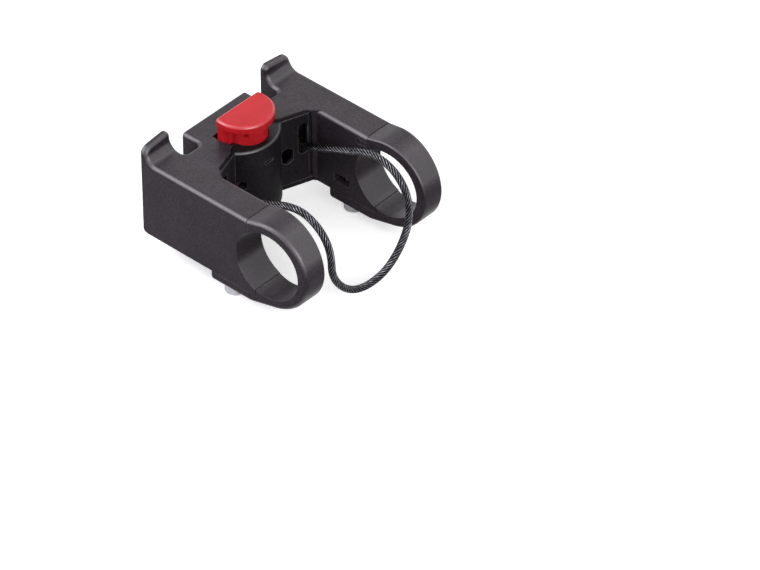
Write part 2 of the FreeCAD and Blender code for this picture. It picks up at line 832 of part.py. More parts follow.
def cover_screws():
    # four small screws with flat heads, flush with the cover
    solids = []
    for across, along in cover_screw_places():
        place = FreeCAD.Vector(mm(across), mm(along), mm("floor_z"))
        up = FreeCAD.Vector(0, 0, 1)
        head = Part.makeCylinder(mm("screw_head_dia / 2"), mm("screw_head_height"), place, up)
        shank_length = mm("screw_length - screw_dia / 2")
        shank = Part.makeCylinder(mm("screw_dia / 2"), shank_length, place, up)
        tip_place = place + up * shank_length
        tip = Part.makeCone(mm("screw_dia / 2"), mm("screw_dia / 8"), mm("screw_dia / 2"), tip_place, up)
        slot = mm("screw_drive")
        bar = Part.makeBox(slot, slot / 4, slot / 4, place - FreeCAD.Vector(slot / 2, slot / 8, 0))
        cross = Part.makeBox(slot / 4, slot, slot / 4, place - FreeCAD.Vector(slot / 8, slot / 2, 0))
        solids.append(head.fuse([shank, tip]).cut([bar, cross]).removeSplitter())
    group = doc.addObject("Part::Feature", "cover_screws")
    group.Label = "cover_screws"
    group.Shape = Part.makeCompound([piece.Solids[0] for piece in solids])
    return group


# Release button

def cut_off_round(sketch, middle, diameter, front):
    # a circle that is cut off straight at the front
    radius = f"({diameter} / 2)"
    half = circle_x(radius, f"{front} - {middle}")
    corners = [(half, front), (f"-{half}", front), ("0", f"{middle} - {radius}")]
    outline(sketch, corners, {1: (radius, 1), 2: (radius, 1)})


def button_skirt(body):
    # a wide bar along the front and a round part behind it
    skirt = sketch_on(body, "XY_Plane", "skirt_bottom")
    right = [
        (skirt_radius, skirt_y),
        (skirt_radius, bar_rear),
        (bar_half, bar_rear),
        (bar_half, "button_front"),
    ]
    left = [(f"-{across}", along) for across, along in reversed(right)]
    rear = [("0", f"{skirt_y} - {skirt_radius}")]
    outline(skirt, right + left + rear, {7: (skirt_radius, 1), 8: (skirt_radius, 1)})
    pad(body, skirt, "cap_top - cap_height - skirt_bottom")
    middle = "(cap_top - cap_height + skirt_bottom) / 2"
    ends = [(bar_half, "button_front", middle), (bar_half, bar_rear, middle)]
    rounded(body, both_sides(ends), "bar_corner")
    rounded(body, both_sides([(skirt_radius, bar_rear, middle)]), "neck_round")


def button_hollow(body):
    # open below, with a post on a rib for the spring
    top = "(cap_top - cap_height - skirt_wall)"
    half = f"({skirt_radius} - skirt_wall)"
    inside = sketch_on(body, "XY_Plane", "skirt_bottom")
    front = "(button_front - skirt_front_wall)"
    corners = [
        (half, skirt_y),
        (half, front),
        (f"-{half}", front),
        (f"-{half}", skirt_y),
        ("0", f"{skirt_y} - {half}"),
    ]
    outline(inside, corners, {3: (half, 1), 4: (half, 1)})
    cut(body, inside, f"{top} - skirt_bottom", backwards=True)
    post = sketch_on(body, "XY_Plane", "post_bottom")
    circle(post, "0", skirt_y, "post_dia")
    pad(body, post, f"{top} + skirt_wall / 2 - post_bottom")
    pin = sketch_on(body, "XY_Plane", "post_bottom - post_pin")
    circle(pin, "0", skirt_y, "pin_dia")
    pad(body, pin, "post_pin + 1")
    rib = sketch_on(body, "XY_Plane", "post_bottom")
    reach = f"({skirt_radius} - skirt_wall / 2)"
    rectangle(rib, (f"-{reach}", f"{skirt_y} - rib_wall / 2"), (reach, f"{skirt_y} + rib_wall / 2"))
    pad(body, rib, f"{top} + skirt_wall / 2 - post_bottom")


def button_cap(body):
    cap = sketch_on(body, "XY_Plane", "cap_top - cap_height")
    cut_off_round(cap, cap_y, "cap_dia", "button_front")
    pad(body, cap, "cap_height")
    rounded(body, both_sides([(cap_half, "button_front", "cap_top - cap_height / 2")]), "cap_corner")
    rounded(body, [("0", "button_front", "cap_top")], "cap_round")


def button_pockets(body):
    sketch = sketch_on(body, "XZ_Plane", f"-({skirt_y} - pocket_in)")
    low = ("pocket_x - pocket_width / 2", "pocket_bottom")
    rectangle(sketch, low, ("pocket_x + pocket_width / 2", "pocket_top"))
    mirrored(body, [cut(body, sketch, skirt_radius, backwards=True)])


def button_nose(body):
    # reaches through the front wall and hooks up before it
    nose = sketch_on(body, "YZ_Plane")
    nose_top = "(skirt_bottom + nose_height)"
    root = "button_front - skirt_front_wall"
    nose_end = "(front_y + nose_reach)"
    corners = [
        (root, "skirt_bottom"),
        (f"{nose_end} - nose_hook / 2", "skirt_bottom"),
        (nose_end, "skirt_bottom + nose_hook / 2"),
        (f"{nose_end} - nose_hook / 3", f"{nose_top} + nose_hook"),
        ("front_y + nose_clear", f"{nose_top} + nose_hook"),
        ("front_y + nose_clear", nose_top),
        ("button_front + nose_height", nose_top),
        ("button_front", f"{nose_top} + nose_height"),
        (root, f"{nose_top} + nose_height"),
    ]
    outline(nose, corners)
    pad(body, nose, "nose_width", both=True)


def release_button():
    body = new_body("release_button")
    button_skirt(body)
    button_hollow(body)
    button_cap(body)
    button_pockets(body)
    button_nose(body)
    return body


def button_spring():
    # open coil that stands on the cover round its pin and lifts the button's post
    low = mm(f"{cover_top} + spring_wire / 2 + spring_clear")
    height = mm("post_bottom - spring_wire / 2 - spring_clear") - low
    radius = mm("spring_dia / 2")
    helix = Part.makeHelix(height / mm("spring_turns"), height, radius)
    start = FreeCAD.Vector(radius, 0, 0)
    section = Part.Wire(Part.Circle(start, FreeCAD.Vector(0, 1, 0), mm("spring_wire / 2")).toShape())
    coil = Part.Wire(helix.Edges).makePipeShell([section], True, True)
    spring = doc.addObject("Part::Feature", "button_spring")
    spring.Label = "button_spring"
    spring.Shape = coil
    spring.Placement = FreeCAD.Placement(FreeCAD.Vector(0, mm(skirt_y), low), FreeCAD.Rotation())
    return spring


# Bands that close round the bar

def tangent_point(radius, across, up, turn):
    # where the line from a point touches the bar's concentric circle: turn is 1 for the anticlockwise side
    square = f"(({across}) ^ 2 + ({up}) ^ 2)"
    swing = f"({turn} * {radius} * sqrt({square} - {radius} ^ 2))"
    point_x = f"(({radius} ^ 2 * ({across}) - {swing} * ({up})) / {square})"
    point_y = f"(({radius} ^ 2 * ({up}) + {swing} * ({across})) / {square})"
    return point_x, point_y


def cap_profile(body, side):
    # band round the rear of the bar with a flange under the arm
    profile = sketch_on(body, "YZ_Plane", f"({side} * arm_inner)")
    bore_rear = "(saddle_y - flange_gap)"
    corners = [
        (seam_y, circle_x(bar_radius, seam_y)),
        (seam_y, "deck_z"),
        tangent_point(band_radius, seam_y, "deck_z", 1),
        (f"-{band_radius}", "0"),
        tangent_point(band_radius, "flange_bend", flange_bottom, -1),
        ("flange_bend", flange_bottom),
        ("flange_front", flange_bottom),
        ("flange_front", flange_top),
        (bore_rear, flange_top),
        (bore_rear, f"-{circle_x(bar_radius, bore_rear)}"),
        (f"-{bar_radius}", "0"),
    ]
    curves = {2: (band_radius, 1), 3: (band_radius, 1), 9: (bar_radius, -1), 10: (bar_radius, -1)}
    outline(profile, corners, curves)
    pad(body, profile, "half_width - arm_inner", backwards=side < 0)


def cap_taper(body, side):
    # both flanks lean towards the middle of the band on its way to the rear
    far = f"(-{band_radius} - 1)"
    for edge, shift, away in (("half_width", "-outer_taper", "1"), ("arm_inner", "inner_taper", "-1")):
        taper = sketch_on(body, "XY_Plane", f"{flange_bottom} - 1")
        corners = [
            (f"{side} * {edge}", seam_y),
            (f"{side} * ({edge} + {shift})", far),
            (f"{side} * ({edge} + {shift} + {away} * outer_taper * 2)", far),
            (f"{side} * ({edge} + {away} * outer_taper)", seam_y),
        ]
        outline(taper, corners)
        cut(body, taper, f"{band_radius} - {flange_bottom} + 2", backwards=True)


def cap_rounding(body, side):
    middle_x = f"{side} * (half_width + arm_inner) / 2"
    rounded(body, [(middle_x, "flange_bend", flange_bottom)], "flange_bend_round")
    rounded(body, [(middle_x, "flange_front", flange_bottom)], "flange_toe_round")
    bend_y, bend_z = tangent_point(band_radius, seam_y, "deck_z", 1)
    for edge, radius in (("half_width", "edge_round"), ("arm_inner", "front_round")):
        top_edge = (f"{side} * {edge}", f"({seam_y} + {bend_y}) / 2", f"(deck_z + {bend_z}) / 2")
        rounded(body, [top_edge], radius)


def cap_bead(body, side):
    # round bead on a neck, which hangs in the arm's channel
    bead = sketch_on(body, "YZ_Plane", f"({side} * arm_inner)")
    radius = "(bead_dia / 2)"
    neck_end = f"(bead_y - {circle_x(radius, 'neck_wall / 2')})"
    corners = [
        ("split_y - 1", "bead_z - neck_wall / 2"),
        (neck_end, "bead_z - neck_wall / 2"),
        (f"bead_y + {radius}", "bead_z"),
        (neck_end, "bead_z + neck_wall / 2"),
        ("split_y - 1", "bead_z + neck_wall / 2"),
    ]
    outline(bead, corners, {1: (radius, 1), 2: (radius, 1)})
    pad(body, bead, f"{bead_end} - arm_inner", backwards=side < 0)


def clamp_cap(name, side):
    body = new_body(name)
    cap_profile(body, side)
    cap_taper(body, side)
    cap_rounding(body, side)
    cap_bead(body, side)
    hole = sketch_on(body, "XY_Plane", f"{flange_bottom} - 1")
    circle(hole, f"{side} * {bolt_x}", "bolt_y", "bolt_hole_dia")
    cut(body, hole, "flange_wall + 2", backwards=True)
    return body


# Screw, washer and nut that close a band

def hex_corners(across, along, width):
    point = f"({width} / sqrt(3))"
    flat = f"({width} / 2)"
    return [
        (f"{across} + {point}", along),
        (f"{across} + {point} / 2", f"{along} + {flat}"),
        (f"{across} - {point} / 2", f"{along} + {flat}"),
        (f"{across} - {point}", along),
        (f"{across} - {point} / 2", f"{along} - {flat}"),
        (f"{across} + {point} / 2", f"{along} - {flat}"),
    ]


def clamp_screw(name, side):
    body = new_body(name)
    across = f"({side} * {bolt_x})"
    head_top = f"({flange_bottom} - washer_wall)"
    head_bottom = f"({head_top} - bolt_head_height)"
    shank = sketch_on(body, "XY_Plane", head_bottom)
    circle(shank, across, "bolt_y", "bolt_dia")
    pad(body, shank, f"bolt_tip_z - {head_bottom}")
    head = sketch_on(body, "XY_Plane", head_bottom)
    circle(head, across, "bolt_y", "bolt_head_dia")
    pad(body, head, "bolt_head_height")
    drive = sketch_on(body, "XY_Plane", head_bottom)
    outline(drive, hex_corners(across, "bolt_y", "bolt_drive"))
    cut(body, drive, "bolt_drive_depth", backwards=True)
    return body


def clamp_washer(name, side):
    body = new_body(name)
    ring = sketch_on(body, "XY_Plane", f"{flange_bottom} - washer_wall")
    circle(ring, f"{side} * {bolt_x}", "bolt_y", "washer_dia")
    circle(ring, f"{side} * {bolt_x}", "bolt_y", "washer_hole_dia")
    pad(body, ring, "washer_wall")
    return body


def clamp_nut(name, side):
    body = new_body(name)
    ring = sketch_on(body, "XY_Plane", "nut_top - nut_height")
    outline(ring, hex_corners(f"{side} * {bolt_x}", "bolt_y", "nut_width"))
    circle(ring, f"{side} * {bolt_x}", "bolt_y", "bolt_dia + grub_clear * 2")
    pad(body, ring, "nut_height")
    return body


# Rope

# From the end sleeve of the right side through the slot, over the bar and down behind it to the middle
# below the stem. Points of the route, in millimetres: the left half is the same with X negative.
rope_half = [
    (23.2, 52.9, -3.68),
    (23.2, 1.42, 18.44),
    (23.2, -10.18, 15.44),
    (23.2, -17.51, 5.96),
    (23.2, -17.8, -9.77),
    (9.77, -18.5, -23.6),
]
rope_on_bar = [1, 2, 3]     # points where it goes round the bar


def rope_route():
    points = [FreeCAD.Vector(*point) for point in rope_half]
    return points + [FreeCAD.Vector(-point.x, point.y, point.z) for point in reversed(points)]


def rope_wire(points):
    # straight runs with an arc at each point, as large as the two runs allow
    edges = []
    radii = []
    last = points[0]
    on_bar = rope_on_bar + [len(points) - 1 - number for number in rope_on_bar]
    for number in range(1, len(points) - 1):
        back = points[number - 1] - points[number]
        ahead = points[number + 1] - points[number]
        half_turn = (math.pi - back.getAngle(ahead)) / 2
        share = 0.499 if number in on_bar else 0.45
        reach = share * min(back.Length, ahead.Length)
        radii.append(reach / math.tan(half_turn))
        start = points[number] + back.normalize() * reach
        end = points[number] + ahead.normalize() * reach
        inward = (back + ahead).normalize()
        depth = radii[-1] / math.cos(half_turn) - radii[-1]
        edges.append(Part.LineSegment(last, start).toShape())
        edges.append(Part.Arc(start, points[number] + inward * depth, end).toShape())
        last = end
    edges.append(Part.LineSegment(last, points[-1]).toShape())
    return Part.Wire(edges), radii


def steel_cable():
    points = rope_route()
    wire, radii = rope_wire(points)
    first_way = (points[1] - points[0]).normalize()
    section = Part.Wire(Part.Circle(points[0], first_way, mm(rope_radius)).toShape())
    tube = wire.makePipeShell([section], True, False)
    rope = doc.addObject("Part::Feature", "steel_cable")
    rope.Label = "steel_cable"
    rope.Shape = tube
    wanted = math.pi * mm(rope_radius) ** 2 * wire.Length
    print("rope length %.1f mm, radii %s" % (wire.Length, ", ".join("%.1f" % radius for radius in radii)))
    print("rope volume %.1f, section times length %.1f" % (tube.Volume, wanted))
    return rope


barrel_y = f"({wing_face('rope_x', '-wing_wall')} + (barrel_dia / 2 + barrel_seat) * {wing_stretch})"


def rope_end(side):
    # the rope's end point and its direction there, away from the bar
    end = FreeCAD.Vector(*rope_half[0])
    way = (end - FreeCAD.Vector(*rope_half[1])).normalize()
    end.x *= side
    way.x *= side
    return end, way


def rope_height(along):
    end, way = rope_end(1)
    return end.z + (along - end.y) * way.z / way.y


def cable_barrel(name, side):
    # upright barrel behind the slot, with a slanting hole for the rope and a thread from below
    place = FreeCAD.Vector(side * mm("rope_x"), mm(barrel_y), mm("barrel_bottom"))
    up = FreeCAD.Vector(0, 0, 1)
    barrel = Part.makeCylinder(mm("barrel_dia / 2"), mm("barrel_top - barrel_bottom"), place, up)
    end, way = rope_end(side)
    middle = FreeCAD.Vector(place.x, place.y, rope_height(place.y))
    reach = mm("barrel_dia")
    rope_hole = Part.makeCylinder(mm("rope_hole_dia / 2"), reach * 2, middle - way * reach, way)
    thread = Part.makeCylinder(mm("grub_dia / 2"), middle.z - place.z, place, up)
    piece = doc.addObject("Part::Feature", name)
    piece.Label = name
    piece.Shape = barrel.cut([rope_hole, thread])
    return piece


def barrel_screw(name, side):
    # headless screw that presses the rope from below
    way = rope_end(side)[1]
    radius = mm("grub_dia / 2 - grub_clear")
    tip_radius = radius / 2
    height = rope_height(mm(barrel_y))
    top = height - mm(f"{rope_radius} + grub_clear") / way.y + tip_radius * way.z / way.y
    low = top - mm("grub_length")
    place = FreeCAD.Vector(side * mm("rope_x"), mm(barrel_y), low)
    up = FreeCAD.Vector(0, 0, 1)
    shank_length = mm("grub_length") - tip_radius
    shank = Part.makeCylinder(radius, shank_length, place, up)
    tip = Part.makeCone(radius, tip_radius, tip_radius, place + up * shank_length, up)
    corner = FreeCAD.Vector(mm("grub_drive / sqrt(3)"), 0, 0)
    turns = [FreeCAD.Rotation(up, 60 * step) for step in range(7)]
    key = Part.makePolygon([place + turn.multVec(corner) for turn in turns])
    socket = Part.Face(key).extrude(up * mm("grub_drive"))
    piece = doc.addObject("Part::Feature", name)
    piece.Label = name
    piece.Shape = shank.fuse(tip).cut(socket).removeSplitter()
    return piece


def cable_ferrule(name, side):
    # sleeve crimped on the rope's end, closed at the end
    end, way = rope_end(side)
    start = end - way * mm("ferrule_length - rope_dia / 4")
    sleeve = Part.makeCylinder(mm("ferrule_dia / 2"), mm("ferrule_length"), start, way)
    bore_length = (end - start).Length
    bore = Part.makeCylinder(mm(f"{rope_radius} + ferrule_clear"), bore_length, start, way)
    piece = doc.addObject("Part::Feature", name)
    piece.Label = name
    piece.Shape = sleeve.cut(bore)
    return piece


# Build

adapter_frame()
latch_housing()
bottom_cover()
cover_screws()
release_button()
button_spring()
for side_name, side in (("left", -1), ("right", 1)):
    clamp_cap(f"clamp_cap_{side_name}", side)
    clamp_screw(f"clamp_screw_{side_name}", side)
    clamp_washer(f"clamp_washer_{side_name}", side)
    clamp_nut(f"clamp_nut_{side_name}", side)
    cable_barrel(f"cable_barrel_{side_name}", side)
    barrel_screw(f"barrel_screw_{side_name}", side)
    cable_ferrule(f"cable_ferrule_{side_name}", side)
steel_cable()
doc.recompute()

# Checks, then one file for each piece

for item in doc.Objects:
    if "Invalid" in item.State or "Error" in item.State:
        raise ValueError(f"{item.Name} failed: {item.State}")

pieces = [item for item in doc.Objects if item.TypeId == "PartDesign::Body"]
pieces += [item for item in doc.Objects if item.TypeId == "Part::Feature"]
os.makedirs("parts", exist_ok=True)
for piece in pieces:
    shape = piece.Shape
    if shape.isNull() or not shape.isValid() or not shape.Solids:
        raise ValueError(f"{piece.Label} has no valid shape")
    shape.exportStep(f"parts/{piece.Label}.step")
    print(f"{piece.Label}: {len(shape.Solids)} solid, {shape.Volume / 1000:.2f} cm3")
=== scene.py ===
import math
import bpy
import numpy as np
from mathutils import Matrix, Vector


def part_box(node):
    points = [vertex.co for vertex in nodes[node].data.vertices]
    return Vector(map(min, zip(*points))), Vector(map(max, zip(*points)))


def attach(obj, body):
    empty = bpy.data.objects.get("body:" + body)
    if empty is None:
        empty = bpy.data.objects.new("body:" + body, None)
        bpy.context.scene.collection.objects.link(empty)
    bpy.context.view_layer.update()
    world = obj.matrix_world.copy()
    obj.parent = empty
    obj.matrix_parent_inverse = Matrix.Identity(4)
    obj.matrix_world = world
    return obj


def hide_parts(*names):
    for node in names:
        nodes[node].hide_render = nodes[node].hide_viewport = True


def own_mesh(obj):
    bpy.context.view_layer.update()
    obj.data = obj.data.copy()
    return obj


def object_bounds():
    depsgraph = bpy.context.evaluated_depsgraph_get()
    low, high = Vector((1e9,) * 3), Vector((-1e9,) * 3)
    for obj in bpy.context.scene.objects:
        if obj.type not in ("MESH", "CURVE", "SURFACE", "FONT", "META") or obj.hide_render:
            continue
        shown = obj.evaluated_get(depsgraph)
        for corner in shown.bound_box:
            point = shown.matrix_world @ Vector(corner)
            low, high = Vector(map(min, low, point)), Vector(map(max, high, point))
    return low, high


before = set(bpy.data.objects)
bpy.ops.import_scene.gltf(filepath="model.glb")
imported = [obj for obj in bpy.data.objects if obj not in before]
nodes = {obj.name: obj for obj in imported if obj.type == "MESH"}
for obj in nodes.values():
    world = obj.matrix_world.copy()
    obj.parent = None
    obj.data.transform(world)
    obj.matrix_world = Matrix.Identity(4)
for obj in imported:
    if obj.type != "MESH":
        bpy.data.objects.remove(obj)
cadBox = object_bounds()
sceneNow = bpy.context.scene
print("frame loaded:", len(nodes), "nodes")


# Camera: a long lens from behind, above and to the left
camera = {
    "turn": -47.765,         # degrees
    "height": 39.398,
    "roll": -0.318,
    "distance": 2.4525,      # metres
    "aside": -0.016895,      # where the middle between the two bands lies in the picture
    "above": 0.027318,
    "lens": 288.45,          # millimetres
    "sensor": 36,
    "nearest": 0.1,
    "farthest": 20,
}


def placeCamera():
    turn, height, roll = (math.radians(camera[key]) for key in ("turn", "height", "roll"))
    right = Vector((math.cos(turn), math.sin(turn), 0))
    ahead = Vector((-math.sin(turn) * math.cos(height), math.cos(turn) * math.cos(height), -math.sin(height)))
    up = right.cross(ahead)
    rolledRight = right * math.cos(roll) + up * math.sin(roll)
    rolledUp = up * math.cos(roll) - right * math.sin(roll)
    lens = bpy.data.cameras.new("camera")
    lens.lens = camera["lens"]
    lens.sensor_width = camera["sensor"]
    lens.clip_start = camera["nearest"]
    lens.clip_end = camera["farthest"]
    holder = bpy.data.objects.new("camera", lens)
    sceneNow.collection.objects.link(holder)
    turned = Matrix((rolledRight, rolledUp, -ahead)).transposed().to_4x4()
    place = -ahead * camera["distance"] - rolledRight * camera["aside"] - rolledUp * camera["above"]
    holder.matrix_world = Matrix.Translation(place) @ turned
    sceneNow.camera = holder


placeCamera()
print("camera placed")


# Safety rope: a layer of round wires that twist round a core, from wing to wing in one long loop
rope = {
    "halfRoute": [
        (0.0232, 0.0529, -0.00368),
        (0.0232, 0.0206, 0.0102),
        (0.0232, 0.00142, 0.01844),
        (0.0232, -0.01018, 0.01544),
        (0.0232, -0.01751, 0.00596),
        (0.0232, -0.0178, -0.00977),
        (0.00977, -0.0185, -0.0236),
    ],
    "diameter": 0.0032,
    "length": 0.2437,
    "wires": 24,
    "glintWireEvery": 3,        # one wire in so many is made lighter, a painted glint along the strands
    "wireDiameter": 0.00034,
    "lay": 0.0150,           # length of one full twist
    "step": 0.00045,
    "wireSides": 5,
    "coreSides": 16,
    "routeSteps": 32,        # points that the spline gives for each of its own
}


def routeLine(points):
    curve = bpy.data.curves.new("ropeRoute", "CURVE")
    curve.dimensions = "3D"
    curve.resolution_u = rope["routeSteps"]
    spline = curve.splines.new("NURBS")
    spline.points.add(len(points) - 1)
    for point, place in zip(spline.points, points):
        point.co = (*place, 1)
    spline.order_u = 3
    spline.use_endpoint_u = True
    holder = bpy.data.objects.new("ropeRoute", curve)
    mesh = bpy.data.meshes.new_from_object(holder)
    line = np.array([vertex.co for vertex in mesh.vertices])
    bpy.data.meshes.remove(mesh)
    bpy.data.curves.remove(curve)
    return line


def evenly(line, step):
    runs = np.linalg.norm(np.diff(line, axis=0), axis=1)
    along = np.concatenate([[0], np.cumsum(runs)])
    places = np.linspace(0, along[-1], int(along[-1] / step) + 1)
    return places, np.stack([np.interp(places, along, line[:, axis]) for axis in range(3)], axis=1)


def acrossLine(line):
    # two directions across the line at each point, carried along without twist
    ways = np.gradient(line, axis=0)
    ways /= np.linalg.norm(ways, axis=1)[:, None]
    first = np.cross(ways[0], (1.0, 0.0, 0.0))
    across = [first / np.linalg.norm(first)]
    for way in ways[1:]:
        side = across[-1] - way * np.dot(across[-1], way)
        across.append(side / np.linalg.norm(side))
    across = np.array(across)
    return across, np.cross(ways, across)


def tubeRings(centres, radius, sides):
    across, beside = acrossLine(centres)
    turns = np.linspace(0, 2 * math.pi, sides, endpoint=False)
    rings = np.cos(turns)[None, :, None] * across[:, None] + np.sin(turns)[None, :, None] * beside[:, None]
    return centres[:, None] + rings * radius


def addTube(vertices, faces, centres, radius, sides):
    rings = tubeRings(centres, radius, sides)
    start = len(vertices)
    vertices.extend(map(tuple, rings.reshape(-1, 3)))
    for ring in range(len(centres) - 1):
        for side in range(sides):
            near = start + ring * sides
            far = near + sides
            following = (side + 1) % sides
            faces.append((near + side, near + following, far + following, far + side))
    faces.append(tuple(start + side for side in reversed(range(sides))))
    faces.append(tuple(start + (len(centres) - 1) * sides + side for side in range(sides)))


def meshPiece(name, vertices, faces, body):
    mesh = bpy.data.meshes.new(name)
    mesh.from_pydata(vertices, [], faces)
    mesh.validate()
    mesh.shade_smooth()
    piece = bpy.data.objects.new(name, mesh)
    sceneNow.collection.objects.link(piece)
    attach(piece, body)
    return piece


def makeRope():
    half = rope["halfRoute"]
    route = half + [(-x, y, z) for x, y, z in reversed(half)]
    along, line = evenly(routeLine(route), rope["step"])
    across, beside = acrossLine(line)
    wireRadius = rope["wireDiameter"] / 2
    reach = rope["diameter"] / 2 - wireRadius
    vertices, faces = [], []
    glintWireFaces = []
    for wire in range(rope["wires"]):
        firstFace = len(faces)
        angle = 2 * math.pi * (along / rope["lay"] + wire / rope["wires"])
        centres = line + reach * (np.cos(angle)[:, None] * across + np.sin(angle)[:, None] * beside)
        addTube(vertices, faces, centres, wireRadius, rope["wireSides"])
        # every so many wires take the lighter metal: painted glints along the strands
        if wire % rope["glintWireEvery"] == 0:
            glintWireFaces.extend(range(firstFace, len(faces)))
    addTube(vertices, faces, line, reach, rope["coreSides"])
    piece = meshPiece("safetyRope", vertices, faces, "mount")
    for index in glintWireFaces:
        piece.data.polygons[index].material_index = 1
    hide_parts("steel_cable")
    print("rope made: %.1f mm of line" % (along[-1] * 1000))
    return piece


safetyRope = makeRope()


# Spring under the button: a wound wire coil takes the place of the plain coil
spring = {
    "wireDiameter": 0.0008,
    "turns": 6.0,
    "stepsPerTurn": 40,
    "wireSides": 10,
}


def makeSpring():
    low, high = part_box("button_spring")
    wireRadius = spring["wireDiameter"] / 2
    middle = (low + high) / 2
    coilRadius = (high.y - low.y) / 2 - wireRadius
    steps = int(spring["turns"] * spring["stepsPerTurn"]) + 1
    turn = np.linspace(0, 2 * math.pi * spring["turns"], steps)
    aside = middle.x + coilRadius * np.cos(turn)
    ahead = middle.y + coilRadius * np.sin(turn)
    rise = np.linspace(low.z + wireRadius, high.z - wireRadius, steps)
    vertices, faces = [], []
    addTube(vertices, faces, np.stack([aside, ahead, rise], axis=1), wireRadius, spring["wireSides"])
    piece = meshPiece("pressSpring", vertices, faces, "mount")
    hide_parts("button_spring")
    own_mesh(piece)
    return piece


pressSpring = makeSpring()


# Materials: sizes of grains, spots and edges are in metres
def newMaterial(name):
    material = bpy.data.materials.new(name)
    material.use_nodes = True
    tree = material.node_tree
    return material, tree, tree.nodes["Principled BSDF"]


def addNode(tree, kind, **settings):
    node = tree.nodes.new(kind)
    for key, value in settings.items():
        if key in node.inputs:
            node.inputs[key].default_value = value
        else:
            setattr(node, key, value)
    return node


def feed(tree, node, socket, source):
    tree.links.new(source, node.inputs[socket])


def noiseAt(tree, size, detail=2.0, roughness=0.5):
    # size is the width of one grain, in the object's own frame
    place = addNode(tree, "ShaderNodeTexCoord")
    noise = addNode(tree, "ShaderNodeTexNoise", Scale=1 / size, Detail=detail, Roughness=roughness)
    feed(tree, noise, "Vector", place.outputs["Object"])
    return noise.outputs["Fac"]


def spreadOver(tree, source, low, high, fromLow=0.3, fromHigh=0.7):
    # most of a noise lies between 0.3 and 0.7
    spread = addNode(tree, "ShaderNodeMapRange")
    for key, value in zip(("From Min", "From Max", "To Min", "To Max"), (fromLow, fromHigh, low, high)):
        spread.inputs[key].default_value = value
    feed(tree, spread, "Value", source)
    return spread.outputs["Result"]


def mixColours(tree, share, first, second):
    mix = addNode(tree, "ShaderNodeMix", data_type="RGBA")
    for socket, value in (("A", first), ("B", second)):
        target = [item for item in mix.inputs if item.name == socket and item.type == "RGBA"][0]
        if isinstance(value, tuple):
            target.default_value = (*value, 1)
        else:
            tree.links.new(value, target)
    feed(tree, mix, "Factor", share)
    return [item for item in mix.outputs if item.type == "RGBA"][0]


def reckon(tree, operation, first, second):
    both = addNode(tree, "ShaderNodeMath", operation=operation)
    feed(tree, both, 0, first)
    feed(tree, both, 1, second)
    return both.outputs["Value"]


edges = {
    "samples": 6,
    "wearAndHighlightWidth": 0.0006,
    "wearAndHighlightTurn": (0.80, 0.995),     # cosine of the turn from the real normal to the softened one
    "roundSlant": (0.90, 0.995),   # largest part of the normal, on a round and on a flat face
    "roundLift": (0.10, 0.40),     # upright part of the normal, where the skin begins and is full
}


def softNormal(tree, width):
    soft = addNode(tree, "ShaderNodeBevel", Radius=width, samples=edges["samples"])
    return soft.outputs["Normal"]


def wearAndHighlightShare(tree):
    # 1 along the edges, where the softened normal turns away from the real one; there the colour is
    # lightened, partly as wear and partly as a painted highlight
    real = addNode(tree, "ShaderNodeNewGeometry")
    turn = addNode(tree, "ShaderNodeVectorMath", operation="DOT_PRODUCT")
    feed(tree, turn, 0, softNormal(tree, edges["wearAndHighlightWidth"]))
    feed(tree, turn, 1, real.outputs["True Normal"])
    return spreadOver(tree, turn.outputs["Value"], 1.0, 0.0, *edges["wearAndHighlightTurn"])


def roundedShare(tree):
    # 1 on rounds that slant up or down, 0 on flat faces and on upright corners
    place = addNode(tree, "ShaderNodeTexCoord")
    bare = addNode(tree, "ShaderNodeVectorMath", operation="ABSOLUTE")
    parts = addNode(tree, "ShaderNodeSeparateXYZ")
    feed(tree, bare, 0, place.outputs["Normal"])
    feed(tree, parts, "Vector", bare.outputs["Vector"])
    most = parts.outputs["X"]
    for axis in ("Y", "Z"):
        most = reckon(tree, "MAXIMUM", most, parts.outputs[axis])
    slanted = spreadOver(tree, most, 1.0, 0.0, *edges["roundSlant"])
    lifted = spreadOver(tree, parts.outputs["Z"], 0.0, 1.0, *edges["roundLift"])
    return reckon(tree, "MULTIPLY", slanted, lifted)


def bumpFrom(tree, shader, source, depth, strength, softEdge=0.0):
    bump = addNode(tree, "ShaderNodeBump", Strength=strength, Distance=depth)
    feed(tree, bump, "Height", source)
    if softEdge:
        feed(tree, bump, "Normal", softNormal(tree, softEdge))
    feed(tree, shader, "Normal", bump.outputs["Normal"])


# Flat moulded faces stay dull, and hands give the rounds a smoother skin
handling = {
    "ior": 1.7,
    "patch": 0.005,
    "uneven": 0.03,          # how far the roughness strays to each side
}


def handledSkin(tree, shader, finish):
    shader.inputs["Specular IOR Level"].default_value = finish["specular"]
    shader.inputs["Coat IOR"].default_value = handling["ior"]
    shader.inputs["Coat Roughness"].default_value = finish["skinRoughness"]
    feed(tree, shader, "Coat Weight", spreadOver(tree, roundedShare(tree), 0.0, finish["skin"], 0.0, 1.0))
    patches = noiseAt(tree, handling["patch"], detail=3.0)
    smoothest, roughest = (finish["roughness"] + handling["uneven"] * way for way in (-1, 1))
    feed(tree, shader, "Roughness", spreadOver(tree, patches, smoothest, roughest))


